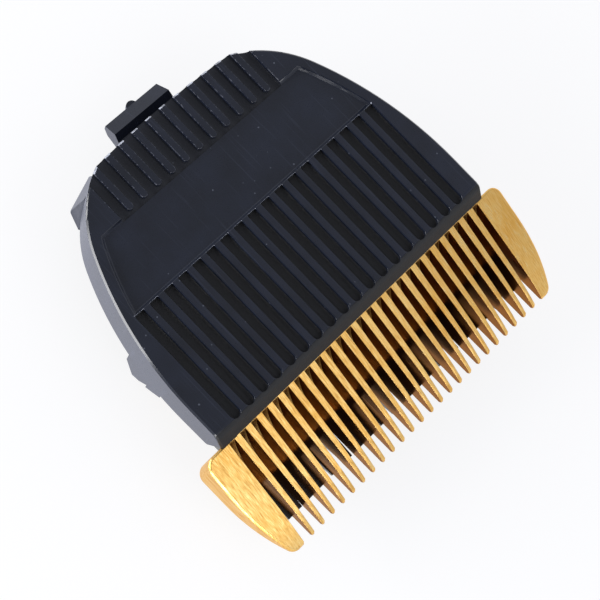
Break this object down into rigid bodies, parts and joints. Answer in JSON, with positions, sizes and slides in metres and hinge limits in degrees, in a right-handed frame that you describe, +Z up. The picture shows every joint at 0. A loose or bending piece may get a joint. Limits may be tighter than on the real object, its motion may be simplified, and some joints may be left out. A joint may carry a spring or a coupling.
{
  "type": "hair clipper blade",
  "caption": "Clip-on hair clipper blade block: ribbed black housing, gold-coated steel comb and a black reciprocating cutter on sprung carrier, with a rear mounting hook.",
  "frame": {"origin": "on the plane the block rests on, below the middle of its bounding box", "axes": "+X across the teeth, -Y the way the teeth point, +Z up out of the ribbed face"},
  "size_m": [0.047, 0.0486, 0.012],
  "materials": {
    "black_moulding": "moulded ABS, fine spark-eroded texture",
    "gold_nitride_steel": "ground steel with a gold nitride coating",
    "screw_steel": "zinc plated",
    "black_ceramic": "ground black zirconia",
    "carrier_moulding": "moulded acetal",
    "spring_steel": "drawn spring wire"
  },
  "bodies": {
    "block": {"housing": "black_moulding", "fixed_blade": "gold_nitride_steel", "blade_screws": "screw_steel", "spring_right": "spring_steel", "spring_left": "spring_steel"},
    "cutter": {"moving_blade": "black_ceramic", "blade_carrier": "carrier_moulding"}
  },
  "joints": [
    {"name": "cutter_slide", "type": "slide", "parent": "block", "child": "cutter", "axis": [1, 0, 0], "range_m": [-0.0015, 0.0015]}
  ]
}
